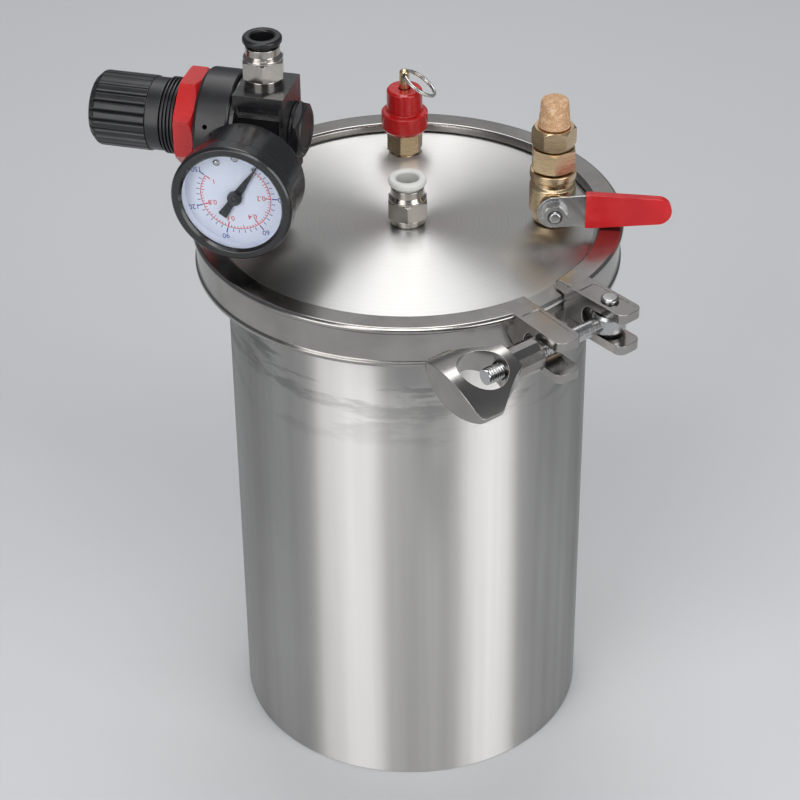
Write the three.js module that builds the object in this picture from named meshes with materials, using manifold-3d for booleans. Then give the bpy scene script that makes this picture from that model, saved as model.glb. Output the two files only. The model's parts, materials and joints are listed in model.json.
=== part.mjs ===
// Small stainless resin pressure pot: clamped vessel and lid, regulator with gauge, relief valve,
// vent valve with silencer, and a push-in tube fitting. Millimetres, +Z up, origin at the centre
// of the vessel's base.
import * as THREE from 'three';
import { mergeVertices } from 'three/addons/utils/BufferGeometryUtils.js';
import Module from 'manifold-3d';

const wasm = await Module();
wasm.setup();

// Driving dimensions
const GAP = 0.3;                    // clearance left between touching pieces
const TUBE_R = 66.5;                // vessel tube, outside
const TUBE_WALL = 1.5;
const FERRULE_R = 72.5;             // flanges of vessel and lid
const FERRULE_BASE = 199.4;
const SEAL_PLANE = 204.5;
const LID_TOP = 209.6;
const LID_THICK = 3.5;
const CLAMP_BASE = 197;
const CLAMP_TOP = 213;
const CLAMP_R = 78.3;
const LIP_R = 69.1;                 // inner edge of the clamp's lips
const GROOVE_R = 72.9;
const HINGE_DEG = 130.5;            // direction of the clamp's hinge from the vessel's axis
const HINGE_R = 84;
const FRONT_EAR = { deg: -54.5, offset: -6.4, endDeg: -55.6 };
const REAR_EAR = { deg: -50, offset: 13.6, endDeg: -42.6 };
const EAR_WIDTH = 10;
const EAR_TIP = 101.8;
const PLATE_THICK = 3.5;
const BOLT_MID = 205;               // height of the eye bolt
const BOLT_DEG = -141.5;
const BOLT_PIN_R = 90.7;            // distance of the bolt's pin along the rear ear
const BOLT_R = 3;
const NUT_START = 33.2;             // along the bolt, from its pin
const NUT_END = 72;
const WING_HALF = 15.6;
const WINDOW = { radius: 8.8, z: 58.4 };
const PORT_R = 4.9;                 // threaded tails of every fitting
const PORT_HOLE_R = 5.3;
const PORTS = { centre: [0, 0], inlet: [-50, 0], relief: [-0.6, 53], vent: [52.4, 1] };
const FITTING_BASE = 212.6;         // underside of the centre fitting's hexagon
const REGULATOR_AXIS = 249.3;
const REGULATOR_YAW = -15;
const NUT_CORNER_DEG = 22.5;
const BLOCK_HALF = 17.7;
const BLOCK_SIDES = [-7.6, 10.8];   // along the regulator's axis, from the inlet port's axis
const INLET_FITTING_BASE = 269.2;
const GAUGE_DROP = 8.8;             // gauge axis below the regulator's axis
const GAUGE_R = 20.5;
const POINTER_ZERO_DEG = 57;
const STEM_HEIGHT = 219.2;          // axis of the vent valve's lever
const RING_TILT_DEG = 35;

// Sides of the round bodies
const FINE = 40;
const ROUND = 20;
const SMALL = 12;
const TINY = 8;

const rad = (degrees) => THREE.MathUtils.degToRad(degrees);

// Materials

const finish = (color, roughness, metalness, more = {}) =>
  new THREE.MeshStandardMaterial({ color, roughness, metalness, ...more });

const polished = finish('#d4d4d2', 0.12, 1);
const brushed = finish('#cfcfcc', 0.3, 1);
const cast = finish('#a9a7a3', 0.25, 1);
const nickel = finish('#c4beb6', 0.22, 1);
const zinc = finish('#c9cbcc', 0.3, 1);
const spring = finish('#b5b5b0', 0.35, 1);
const brass = finish('#c2a060', 0.32, 1);
const sintered = finish('#cfa678', 0.85, 0.4);
const redPlastic = finish('#d21f1c', 0.35, 0);
const redVinyl = finish('#c8141b', 0.4, 0);
const blackPlastic = finish('#1c1c1e', 0.4, 0);
const blackPaint = finish('#17171a', 0.35, 0.2);
const greyPlastic = finish('#d9d9d3', 0.45, 0);
const rubber = finish('#222224', 0.8, 0);
const ptfe = finish('#f0efe9', 0.5, 0);
const dialWhite = finish('#f2f3f8', 0.6, 0);
const glass = finish('#eef4f8', 0.05, 0, { transparent: true, opacity: 0.25 });

// Solids

function signedVolume(position, index) {
  const corner = [0, 1, 2].map(() => new THREE.Vector3());
  let six = 0;
  for (let i = 0; i < index.length; i += 3) {
    corner.forEach((v, k) => v.fromArray(position, 3 * index[i + k]));
    six += corner[0].dot(corner[1].clone().cross(corner[2]));
  }
  return six / 6;
}

// Manifold solid of a closed geometry, faces turned outwards
function solid(geometry) {
  const bare = geometry.index ? geometry.toNonIndexed() : geometry.clone();
  bare.deleteAttribute('normal');
  bare.deleteAttribute('uv');
  const merged = mergeVertices(bare, 1e-5);
  const position = Float32Array.from(merged.attributes.position.array);
  const index = [];
  for (let i = 0; i < merged.index.count; i += 3) {
    const [a, b, c] = [0, 1, 2].map((k) => merged.index.getX(i + k));
    if (a !== b && b !== c && c !== a) index.push(a, b, c);
  }
  if (signedVolume(position, index) < 0) index.reverse();
  const mesh = new wasm.Mesh({ numProp: 3, vertProperties: position, triVerts: Uint32Array.from(index) });
  return new wasm.Manifold(mesh);
}

function geometryOf(manifold) {
  const mesh = manifold.getMesh();
  const geometry = new THREE.BufferGeometry();
  geometry.setAttribute('position', new THREE.BufferAttribute(Float32Array.from(mesh.vertProperties), 3));
  geometry.setIndex(Array.from(mesh.triVerts));
  return geometry;
}

// Body turned about Z from [radius, height] points that start and end on the axis
function turned(profile, sides = ROUND, at = null) {
  const geometry = new THREE.LatheGeometry(profile.map(([r, z]) => new THREE.Vector2(r, z)), sides);
  geometry.rotateX(Math.PI / 2);
  if (at) geometry.applyMatrix4(at);
  return solid(geometry);
}

// Ring turned about Z from a closed section
const ring = (section, sides = ROUND, at = null) => turned([...section, section[0]], sides, at);

const tube = (inner, outer, z0, z1, sides = ROUND, at = null) =>
  ring([[inner, z0], [outer, z0], [outer, z1], [inner, z1]], sides, at);

const rod = (radius, z0, z1, sides = SMALL, at = null) =>
  turned([[0, z0], [radius, z0], [radius, z1], [0, z1]], sides, at);

const coneRod = (r0, r1, z0, z1, sides = SMALL, at = null) =>
  turned([[0, z0], [r0, z0], [r1, z1], [0, z1]], sides, at);

function prism(outline, z0, z1, at = null) {
  const shape = outline instanceof THREE.Shape
    ? outline : new THREE.Shape(outline.map(([x, y]) => new THREE.Vector2(x, y)));
  const options = { depth: z1 - z0, bevelEnabled: false, curveSegments: 8 };
  const geometry = new THREE.ExtrudeGeometry(shape, options);
  geometry.translate(0, 0, z0);
  if (at) geometry.applyMatrix4(at);
  return solid(geometry);
}

function box(x, y, z, at = null) {
  const geometry = new THREE.BoxGeometry(x[1] - x[0], y[1] - y[0], z[1] - z[0]);
  geometry.translate((x[0] + x[1]) / 2, (y[0] + y[1]) / 2, (z[0] + z[1]) / 2);
  if (at) geometry.applyMatrix4(at);
  return solid(geometry);
}

function polygon(count, circumradius, startDeg = 0) {
  return Array.from({ length: count }, (_, i) => {
    const angle = rad(startDeg + 360 * i / count);
    return [circumradius * Math.cos(angle), circumradius * Math.sin(angle)];
  });
}

const hexagon = (acrossFlats, startDeg = 0) => polygon(6, acrossFlats / Math.sqrt(3), startDeg);

// Hexagon whose corners are turned off at both ends
function chamferedHex(acrossFlats, z0, z1, startDeg = 0) {
  const corner = acrossFlats / Math.sqrt(3) + 0.05;
  const flat = acrossFlats / 2;
  const fall = 0.5 * (corner - flat);
  const turning = turned([[0, z0], [flat, z0], [corner, z0 + fall], [corner, z1 - fall], [flat, z1],
    [0, z1]], ROUND);
  return prism(hexagon(acrossFlats, startDeg), z0, z1).intersect(turning);
}

// Tube swept along a curve
function swept(curve, radius, steps, sides = 8) {
  const shape = new THREE.Shape(polygon(sides, radius).map(([x, y]) => new THREE.Vector2(x, y)));
  return solid(new THREE.ExtrudeGeometry(shape, { steps, extrudePath: curve, bevelEnabled: false }));
}

class Helix extends THREE.Curve {
  constructor(radius, z0, z1, turns) {
    super();
    Object.assign(this, { radius, z0, z1, turns });
  }

  getPoint(t, target = new THREE.Vector3()) {
    const angle = 2 * Math.PI * this.turns * t;
    return target.set(this.radius * Math.cos(angle), this.radius * Math.sin(angle),
      this.z0 + (this.z1 - this.z0) * t);
  }
}

const coil = (radius, wire, z0, z1, turns) =>
  swept(new Helix(radius, z0 + wire, z1 - wire, turns), wire, 8 * turns, 4);

// Placing

const moved = (x, y, z) => new THREE.Matrix4().makeTranslation(x, y, z);
const turnedZ = (degrees) => new THREE.Matrix4().makeRotationZ(rad(degrees));

// Local Z carried onto -Y, so that a rod runs towards the front
const towardsFront = (x, y, z) => moved(x, y, z).multiply(new THREE.Matrix4().makeRotationX(rad(90)));
const towardsX = (x, y, z) => moved(x, y, z).multiply(new THREE.Matrix4().makeRotationY(rad(90)));

function piece(parent, name, manifold, material) {
  const mesh = new THREE.Mesh(geometryOf(manifold), material);
  mesh.name = name;
  parent.add(mesh);
  return mesh;
}

function subgroup(parent, x, y, z) {
  const group = new THREE.Group();
  group.position.set(x, y, z);
  parent.add(group);
  return group;
}

// Vessel

function vessel(pot) {
  const inner = TUBE_R - TUBE_WALL;
  const top = FERRULE_BASE - GAP;
  piece(pot, 'vessel_shell', turned([[0, 0], [TUBE_R - 1, 0], [TUBE_R, 1], [TUBE_R, top], [inner, top],
    [inner, 3.5], [inner - 1.5, 2], [0, 2]], FINE), polished);
  piece(pot, 'vessel_flange', ring([[inner, FERRULE_BASE], [TUBE_R, FERRULE_BASE], [67.5, 200.4],
    [FERRULE_R, 202.1], [FERRULE_R, SEAL_PLANE - GAP], [inner, SEAL_PLANE - GAP]], FINE), brushed);
  const seal = tube(inner + 0.3, FERRULE_R - 0.5, SEAL_PLANE, LID_TOP - LID_THICK - GAP, FINE);
  piece(pot, 'gasket', seal, ptfe);
}

// Lid

function lid(pot) {
  const base = LID_TOP - LID_THICK;
  const profile = [[0, base], [FERRULE_R, base], [FERRULE_R, 207.9], [67.5, LID_TOP], [0, LID_TOP]];
  let plate = turned(profile, FINE);
  for (const [name, [x, y]] of Object.entries(PORTS)) {
    plate = plate.subtract(rod(PORT_HOLE_R, base - 1, LID_TOP + 1, SMALL, moved(x, y, 0)));
    piece(pot, `lid_boss_${name}`, tube(PORT_HOLE_R, 9, 198, base - GAP, SMALL, moved(x, y, 0)), cast);
  }
  piece(pot, 'lid_plate', plate, brushed);
}

// Push-in tube fitting, with its hexagon's underside at the group's origin
function pushFitting(pot, name, [x, y], base, tail, collarMaterial) {
  const group = subgroup(pot, x, y, base);
  const outer = turned([[0, -tail], [PORT_R, -tail], [PORT_R, 0.2], [0, 0.2]], SMALL)
    .add(chamferedHex(14, 0, 6.9, 30))
    .add(turned([[0, 6], [7, 6], [7, 7.6], [6.1, 8.9], [6.1, 11.7], [0, 11.7]], ROUND));
  const bore = rod(3, -tail - 1, 4, SMALL).add(rod(5.6, 3, 13, SMALL));
  piece(group, `${name}_body`, outer.subtract(bore), nickel);
  piece(group, `${name}_oring`, ring([[4.2, 3.6], [5.2, 3.6], [5.2, 4.9], [4.2, 4.9]], SMALL), rubber);
  piece(group, `${name}_grip_ring`, ring([[4.3, 5.5], [5.2, 5.9], [5.2, 6.3], [4.3, 5.9]], SMALL), spring);
  piece(group, `${name}_collar`, ring([[4.1, 7.7], [5.2, 7.7], [5.2, 12.8], [6.6, 12.8], [7, 13.2],
    [7, 14.6], [6.4, 15.4], [4.6, 15.4], [4.1, 14.9]], ROUND), collarMaterial);
}

// Safety relief valve

function reliefValve(pot) {
  const [x, y] = PORTS.relief;
  const group = subgroup(pot, x, y, 0);
  const outer = rod(PORT_R, 199, 211.2).add(chamferedHex(12, 211, 219, 16)).add(rod(5.7, 218, 233));
  const inner = rod(2.5, 198, 215, SMALL).add(rod(4.4, 214, 234));
  piece(group, 'relief_body', outer.subtract(inner), brass);
  const cap = turned([[0, 219.3], [7.6, 219.3], [8.8, 220.7], [8.8, 226.8], [8.4, 227.2], [6.75, 227.2],
    [6.75, 235.9], [6.1, 236.6], [0, 236.6]], ROUND);
  const hollow = rod(6.1, 218, 233.5).add(rod(2.3, 230, 240, SMALL));
  piece(group, 'relief_cap', cap.subtract(hollow), redPlastic);
  piece(group, 'relief_disc', rod(3.6, 214.3, 216), rubber);
  const crossHole = rod(1.2, -4, 4, TINY, towardsFront(0, 0, 242.2));
  const stem = turned([[0, 216.3], [3.9, 216.3], [3.9, 217.4], [1.87, 217.4], [1.87, 243.9], [1.2, 244.5],
    [0, 244.5]], SMALL);
  piece(group, 'relief_stem', stem.subtract(crossHole), brass);
  piece(group, 'relief_spring', coil(3.1, 0.45, 217.7, 233.2, 6), spring);
  const ringAt = subgroup(group, 0, 0, 242.2);
  ringAt.rotation.y = rad(RING_TILT_DEG);
  const wire = new THREE.TorusGeometry(7, 0.7, 6, ROUND);
  piece(ringAt, 'pull_ring', solid(wire), spring).position.x = 7;
}

// Vent: ball valve with lever, then the silencer

function ventValve(pot) {
  const [x, y] = PORTS.vent;
  const group = subgroup(pot, x, y, STEM_HEIGHT);
  ventBody(group);
  ventInside(group);
  lever(group);
  silencer(group);
}

function ventBody(group) {
  const outer = turned([[0, -20.2], [PORT_R, -20.2], [PORT_R, -9], [6.9, -9], [6.9, -5.8], [8.4, -4.8],
    [8.4, 5.2], [7.5, 6], [7.5, 7.6], [8.4, 8.4], [8.4, 11.2], [7.9, 11.7], [0, 11.7]], ROUND)
    .add(rod(5, 5, 9.2, SMALL, towardsFront(0, 0, 0)));
  const flow = rod(3, -21, 0, SMALL).add(rod(6, -7.6, 12.5, ROUND));
  const stemHole = rod(2.7, 4, 10, SMALL, towardsFront(0, 0, 0));
  piece(group, 'vent_valve_body', outer.subtract(flow).subtract(stemHole), brass);
  const end = rod(5.6, 7.9, 12.3).add(chamferedHex(15, 12, 20.4, 30));
  piece(group, 'vent_valve_end', end.subtract(rod(3.4, 7, 16, SMALL)).subtract(rod(5.2, 15, 21)), brass);
}

function ventInside(group) {
  const lower = [[3.4, -7.3], [5.7, -7.3], [5.7, -3.6], [5.2, -3.6], [3.4, -5]];
  const upper = [[3.4, 5], [5.2, 3.6], [5.7, 3.6], [5.7, 7.6], [3.4, 7.6]];
  piece(group, 'vent_seat_lower', ring(lower, SMALL), ptfe);
  piece(group, 'vent_seat_upper', ring(upper, SMALL), ptfe);
  const sphere = solid(new THREE.SphereGeometry(5.5, ROUND, TINY));
  const flow = rod(3.2, -7, 7, SMALL, towardsX(0, 0, 0));
  const slot = rod(2.9, 4.1, 7, TINY, towardsFront(0, 0, 0));
  piece(group, 'vent_ball', sphere.subtract(flow).subtract(slot), nickel);
}

// Lever in the plane across its stem, pointing along X while the valve is shut
function lever(group) {
  const front = subgroup(group, 0, 0, 0);
  front.rotation.x = rad(90);
  const stem = [[0, 4.6], [2.4, 4.6], [2.4, 16.6], [1.7, 17.2], [0, 17.2]];
  piece(front, 'vent_stem', turned(stem, SMALL), zinc);
  const strip = new THREE.Shape();
  strip.moveTo(0, 6.2).lineTo(11, 6.9).lineTo(36, 4.2).lineTo(36, -3.8).lineTo(11, -5.2).lineTo(0, -6.2);
  strip.absarc(0, 0, 6.2, rad(270), rad(90), true);
  piece(front, 'vent_lever', prism(strip, 11.9, 13.1).subtract(rod(2.7, 11, 14, SMALL)), zinc);
  const outer = new THREE.Shape();
  outer.moveTo(11, 7.4).lineTo(36, 5.5).quadraticCurveTo(42, 4.6, 42, 0.2);
  outer.quadraticCurveTo(42, -4.7, 37.5, -4.7).lineTo(11, -5.7);
  const pocket = [[10, 7], [36.4, 4.6], [36.4, -4.2], [10, -5.4]];
  piece(front, 'lever_sleeve', prism(outer, 10.9, 14.1).subtract(prism(pocket, 11.6, 13.4)), redVinyl);
  const nut = chamferedHex(8, 13.4, 16.2, 10).subtract(rod(2.7, 13, 17, SMALL));
  piece(front, 'lever_nut', nut, zinc);
}

function silencer(group) {
  const base = rod(PORT_R, 15.5, 21).add(chamferedHex(14, 20.7, 28.4, 0));
  const bore = rod(3, 15, 27, SMALL).add(rod(5.5, 26.3, 29));
  piece(group, 'silencer_base', base.subtract(bore), brass);
  const thimble = turned([[0, 26.6], [5.2, 26.6], [5.2, 28.7], [6, 28.7], [5.6, 30.4], [4.95, 38.2],
    [4.2, 39], [0, 39]], ROUND);
  piece(group, 'silencer_element', thimble.subtract(rod(3.4, 26, 35, SMALL)), sintered);
}

// Regulator: its own X runs along the knob and plug, and -Y towards the gauge

function regulator(pot) {
  const [x, y] = PORTS.inlet;
  const group = subgroup(pot, x, y, REGULATOR_AXIS);
  group.rotation.z = rad(REGULATOR_YAW);
  regulatorBlock(group);
  const axis = subgroup(group, 0, 0, 0);
  axis.rotation.y = rad(90);
  bonnet(axis);
  knob(axis);
  regulatorInside(axis);
  gauge(group);
}

function riser(pot) {
  const [x, y] = PORTS.inlet;
  const group = subgroup(pot, x, y, 0);
  const outer = rod(PORT_R, 199, 240.5).add(chamferedHex(14, FITTING_BASE, 220, 0));
  piece(group, 'inlet_riser', outer.subtract(rod(3, 198, 241, SMALL)), nickel);
}

function regulatorBlock(group) {
  const flange = rod(17.5, -11.5, BLOCK_SIDES[0] + 0.5, ROUND, towardsX(0, 0, 0));
  let block = box(BLOCK_SIDES, [-13, 8], [-BLOCK_HALF, BLOCK_HALF]).add(flange);
  const cuts = [
    rod(PORT_HOLE_R, 7.5, BLOCK_HALF + 1),                             // inlet port, on top
    rod(1.8, 3, 8, TINY),
    rod(PORT_HOLE_R, -BLOCK_HALF - 1, -8),                             // outlet port, underneath
    rod(PORT_HOLE_R, 7, 14, SMALL, towardsFront(0, 0, -GAUGE_DROP)),   // gauge port
    rod(1.5, 0, 8, TINY, towardsFront(0, 0, -GAUGE_DROP)),
    rod(5, -3, 12, SMALL, towardsX(0, 0, 0)),                          // poppet chamber
    rod(2, -9, 0, TINY, towardsX(0, 0, 0)),                            // poppet seat
    rod(6.5, -12.5, -7.5, ROUND, towardsX(0, 0, 0)),                   // under the diaphragm
    box([-5.6, 9], [-14, -12.2], [10.6, 13.4]),                        // groove across the front
  ];
  const outlet = new THREE.LineCurve3(new THREE.Vector3(-9, 0, -4), new THREE.Vector3(-3, 0, -12));
  for (const cut of [...cuts, swept(outlet, 1.4, 1)]) block = block.subtract(cut);
  piece(group, 'regulator_block', block, blackPaint);
}

function bonnet(axis) {
  const grooves = [-30.1, -31.5, -32.9, -34.3].flatMap((z) => [[13.8, z], [13.8, z - 0.7], [13.2, z - 0.9]]);
  const outline = [[8, -12.9], [17.8, -12.9], [17.8, -8.7], [18.5, -8.7], [19, -9.3], [19, -20.4],
    [17.9, -21.5], [13.3, -21.5], [13.3, -29.9], ...grooves, [10, -35.4], [10, -52], [3.6, -52], [3.6, -48.5], [8, -48.5]];
  piece(axis, 'regulator_bonnet', ring(outline, ROUND).subtract(ventHole()), blackPlastic);
  const chamfer = turned([[0, -28.9], [17.9, -28.9], [18.5, -28.3], [18.5, -23.5], [17.1, -21.8],
    [0, -21.8]], ROUND);
  const nut = prism(polygon(8, 18.3, NUT_CORNER_DEG), -28.9, -21.8).intersect(chamfer);
  piece(axis, 'panel_nut', nut.subtract(rod(13.7, -30, -21, ROUND)), redPlastic);
}

// Small breather hole in the bonnet's front, a little above its middle
const ventHole = () => rod(0.9, 7, 20, TINY, turnedZ(-20).multiply(towardsFront(0, 0, -16.6)));

function knob(axis) {
  const ribs = 24;
  const outline = [];
  for (let i = 0; i < ribs; i += 1) {
    for (const [share, radius] of [[0, 12.8], [0.2, 13.5], [0.7, 13.5]]) {
      const angle = 2 * Math.PI * (i + share) / ribs;
      outline.push([radius * Math.cos(angle), radius * Math.sin(angle)]);
    }
  }
  const rounding = turned([[0, -62.8], [10.8, -62.8], [13, -61.4], [13.6, -59.5], [13.6, -40.9],
    [0, -40.9]], ROUND);
  const grip = prism(outline, -62.8, -41).intersect(rounding).add(rod(13.1, -41.1, -35.8, ROUND));
  const hollow = rod(10.4, -56, -35, ROUND).add(prism(hexagon(7.6), -60.6, -55));
  piece(axis, 'regulator_knob', grip.subtract(hollow), blackPlastic);
  const screw = prism(hexagon(6.9), -60.2, -56.6).add(rod(3.2, -57, -39.5));
  piece(axis, 'adjusting_screw', screw, zinc);
}

function regulatorInside(axis) {
  piece(axis, 'spring_seat', tube(3.55, 7.4, -44.6, -42.6), zinc);
  piece(axis, 'adjusting_spring', coil(6.2, 0.95, -42.2, -15.5, 6), spring);
  piece(axis, 'diaphragm_plate', turned([[0, -15.2], [7.4, -15.2], [7.4, -12.9], [0, -12.9]]), zinc);
  piece(axis, 'diaphragm', rod(17, -12.6, -11.8, ROUND), rubber);
  piece(axis, 'poppet', turned([[0, -11.4], [1.5, -11.4], [1.5, -2.7], [4.2, -2.7], [4.2, -0.4], [1.9, 0.4],
    [1.9, 3], [0, 3]], SMALL), brass);
  piece(axis, 'poppet_spring', coil(3, 0.4, 0.8, 6.8, 4), spring);
  const plug = rod(4.7, 7.2, 11.3).add(rod(10, 11.1, 12, ROUND)).add(chamferedHex(19, 11.8, 14.6, 0))
    .add(coneRod(8.9, 8.3, 14.4, 15.3, ROUND));
  piece(axis, 'regulator_plug', plug, blackPlastic);
}

// Gauge: its own Z points out of the dial, with X to the right and Y up

function gauge(group) {
  const dial = subgroup(group, 0, 0, -GAUGE_DROP);
  dial.rotation.x = rad(90);
  const stem = rod(4.7, 7.5, 13.5).add(chamferedHex(12, 13.3, 18.7)).add(rod(3.5, 18.5, 26));
  piece(dial, 'gauge_stem', stem.subtract(rod(1.3, 7, 23, TINY)), brass);
  const shell = turned([[0, 19], [18.6, 19], [GAUGE_R, 20.8], [GAUGE_R, 38], [19.3, 38], [19.3, 20.4],
    [0, 20.4]], ROUND);
  piece(dial, 'gauge_case', shell.subtract(rod(3.9, 18, 22)), blackPaint);
  const rim = [[20.9, 36.2], [21.5, 36.2], [21.8, 36.7], [21.8, 41.4], [21.1, 42.4], [18.7, 42.4],
    [18, 41.4], [18, 40.9], [20.9, 40.9]];
  piece(dial, 'gauge_bezel', ring(rim, ROUND), blackPaint);
  piece(dial, 'gauge_lens', rod(19, 39.4, 40.5, ROUND), glass);
  piece(dial, 'gauge_dial', tube(1.3, 18.9, 35.6, 36.2, ROUND), dialWhite);
  gaugeMovement(dial);
  pointer(dial);
}

function gaugeMovement(dial) {
  const arc = new THREE.EllipseCurve(0, 0, 13, 13, rad(-80), rad(180));
  const points = arc.getPoints(16).map((p) => new THREE.Vector3(p.x, p.y, 28));
  const path = new THREE.CatmullRomCurve3(points);
  piece(dial, 'bourdon_tube', swept(path, 1.7, 16), brass);
  const movement = box([-6, 6], [-4, 4], [27.5, 33.5]).subtract(rod(1.2, 27, 34, TINY));
  piece(dial, 'gauge_movement', movement, brass);
}

function pointer(dial) {
  const arm = [[-9, -1.3], [-3, -1.3], [-1.5, -1], [15.2, -0.25], [15.2, 0.25], [-1.5, 1], [-3, 1.3],
    [-9, 1.3]];
  const hand = prism(arm, 37, 37.6).add(rod(2.6, 36.8, 38.3)).add(rod(0.8, 29, 37, TINY));
  piece(dial, 'gauge_pointer', hand, blackPaint).rotation.z = rad(POINTER_ZERO_DEG);
}

// Clamp

const CLAMP_SECTION = [[LIP_R, 212.2], [LIP_R + 0.8, CLAMP_TOP], [CLAMP_R - 0.9, CLAMP_TOP],
  [CLAMP_R, 212.2], [CLAMP_R, 211.1], [77.4, 210.3], [77.1, 199.4], [77.8, 198.6], [77.8, 197.5],
  [77.3, CLAMP_BASE], [LIP_R + 0.8, CLAMP_BASE], [LIP_R, 197.8], [LIP_R, 200.4], [GROOVE_R, 201.7],
  [GROOVE_R, 208.4], [LIP_R, 209.75]];

// Part of the clamp ring between two directions
function clampArc(fromDeg, toDeg) {
  const reach = 120;
  const corners = Array.from({ length: 9 }, (_, i) => {
    const angle = rad(fromDeg + (toDeg - fromDeg) * i / 8);
    return [reach * Math.cos(angle), reach * Math.sin(angle)];
  });
  return ring(CLAMP_SECTION, FINE).intersect(prism([[0, 0], ...corners], CLAMP_BASE - 1, CLAMP_TOP + 1));
}

function earOutline(offset, width, root, tip) {
  const half = width / 2;
  const corner = 3.2;
  const shape = new THREE.Shape();
  shape.moveTo(root, offset - half).lineTo(tip - corner, offset - half);
  shape.quadraticCurveTo(tip, offset - half, tip, offset - half + corner);
  shape.lineTo(tip, offset + half - corner);
  shape.quadraticCurveTo(tip, offset + half, tip - corner, offset + half).lineTo(root, offset + half);
  return shape;
}

// Two plates joined by a hollowed web, standing out from the ring
function ear({ deg, offset }) {
  const at = turnedZ(deg);
  const root = GROOVE_R + 0.5;
  const outline = () => earOutline(offset, EAR_WIDTH, root, EAR_TIP);
  const sides = [offset - EAR_WIDTH / 2, offset + EAR_WIDTH / 2];
  const web = box([root, 84.8], sides, [CLAMP_BASE, CLAMP_TOP], at);
  const hollow = rod(4.5, -30, 30, SMALL, turnedZ(deg).multiply(towardsFront(86.6, 0, BOLT_MID)));
  return web.subtract(hollow)
    .add(prism(outline(), CLAMP_TOP - PLATE_THICK, CLAMP_TOP, at))
    .add(prism(outline(), CLAMP_BASE, CLAMP_BASE + PLATE_THICK, at));
}

const hingeAt = () => turnedZ(HINGE_DEG).multiply(moved(HINGE_R, 0, 0));
const boltPinAt = () => turnedZ(REAR_EAR.deg).multiply(moved(BOLT_PIN_R, REAR_EAR.offset, 0));
const pinHole = (at) => rod(2.8, CLAMP_BASE - 5, CLAMP_TOP + 5, SMALL, at);

// Knuckle and arm of one half, on the side of the hinge that sideSign gives
function knuckle(sideSign, z0, z1) {
  const at = turnedZ(HINGE_DEG);
  const arm = [[HINGE_R - 4, -sideSign * 3], [HINGE_R + 4.2, sideSign * 3.4], [77, sideSign * 17],
    [75.6, sideSign * 15], [75.6, sideSign * 7]];
  return prism(arm, z0, z1, at).add(rod(5.5, z0, z1, SMALL, hingeAt()));
}

// Pin with a head on top and a peened foot
const headedPin = (at) => turned([[0, 195.9], [3.1, 195.9], [3.1, CLAMP_BASE - GAP], [2.5, CLAMP_BASE - GAP],
  [2.5, CLAMP_TOP + GAP], [3.2, CLAMP_TOP + GAP], [3.2, 213.9], [2.4, 214.3], [0, 214.3]], SMALL, at);

function clamp(pot) {
  const halfGap = 5;
  const front = clampArc(HINGE_DEG - 360 + halfGap, FRONT_EAR.endDeg).add(ear(FRONT_EAR))
    .add(knuckle(1, 202, 208)).subtract(pinHole(hingeAt()));
  piece(pot, 'clamp_front', front, cast);
  const rear = clampArc(REAR_EAR.endDeg, HINGE_DEG - halfGap).add(ear(REAR_EAR))
    .add(knuckle(-1, CLAMP_BASE, 201.6)).add(knuckle(-1, 208.4, CLAMP_TOP))
    .subtract(pinHole(hingeAt())).subtract(pinHole(boltPinAt()));
  piece(pot, 'clamp_rear', rear, cast);
  piece(pot, 'hinge_pin', headedPin(hingeAt()), zinc);
  piece(pot, 'bolt_pin', headedPin(boltPinAt()), zinc);
}

// Eye bolt and wing nut: their own Z runs along the bolt, X points down and Y outwards

function eyeBolt(pot) {
  const pin = new THREE.Vector3().applyMatrix4(boltPinAt());
  const group = subgroup(pot, pin.x, pin.y, BOLT_MID);
  group.rotation.order = 'ZYX';
  group.rotation.set(0, rad(90), rad(BOLT_DEG));
  const eye = rod(6, -3.7, 3.7, ROUND, towardsX(0, 0, 0));
  const shank = turned([[0, 3], [BOLT_R, 3], [BOLT_R, 55.4], [BOLT_R - 0.8, 56.2], [0, 56.2]], SMALL);
  const hole = rod(2.8, -5, 5, SMALL, towardsX(0, 0, 0));
  piece(group, 'eye_bolt', eye.add(shank).subtract(hole), zinc);
  wingNut(group);
}

function wingNut(group) {
  const blunt = 0.8;
  const bulge = 11.2;
  const outline = [[5.8, 46], [9.4, 52.5], [WING_HALF - 0.8, 60], [WING_HALF, 61.8],
    [WING_HALF, NUT_END - 2.4], [10, NUT_END - 0.6], [0, NUT_END]];
  const mirrored = outline.slice(0, -1).reverse().map(([y, z]) => [-y, z]);
  const plan = prism([...outline, ...mirrored].map(([y, z]) => [-z, y]), -8, 8,
    new THREE.Matrix4().makeRotationY(rad(90)));
  const lens = new THREE.Shape();
  lens.moveTo(blunt, -WING_HALF).quadraticCurveTo(bulge, 0, blunt, WING_HALF).lineTo(-blunt, WING_HALF);
  lens.quadraticCurveTo(-bulge, 0, -blunt, -WING_HALF);
  const barrel = turned([[0, NUT_START], [5.2, NUT_START], [6, NUT_START + 1], [6, 49], [0, 49]], ROUND);
  const window = rod(WINDOW.radius, -12, 12, ROUND, towardsX(0, 0, WINDOW.z));
  const bore = rod(BOLT_R + GAP, NUT_START - 1, 58, SMALL);
  const nut = plan.intersect(prism(lens, 40, 80)).add(barrel).subtract(window).subtract(bore);
  piece(group, 'wing_nut', nut, cast).rotation.z = rad(-15.8);
}

// The pot

const pot = new THREE.Group();
vessel(pot);
lid(pot);
pushFitting(pot, 'centre_fitting', PORTS.centre, FITTING_BASE, 13.4, greyPlastic);
pushFitting(pot, 'inlet_fitting', PORTS.inlet, INLET_FITTING_BASE, 10.4, blackPlastic);
reliefValve(pot);
ventValve(pot);
riser(pot);
regulator(pot);
clamp(pot);
eyeBolt(pot);

export default pot;
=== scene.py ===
"""Looks of the resin pressure pot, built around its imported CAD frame."""

import json
import math

import bmesh
import bpy
from mathutils import Matrix, Vector


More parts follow.
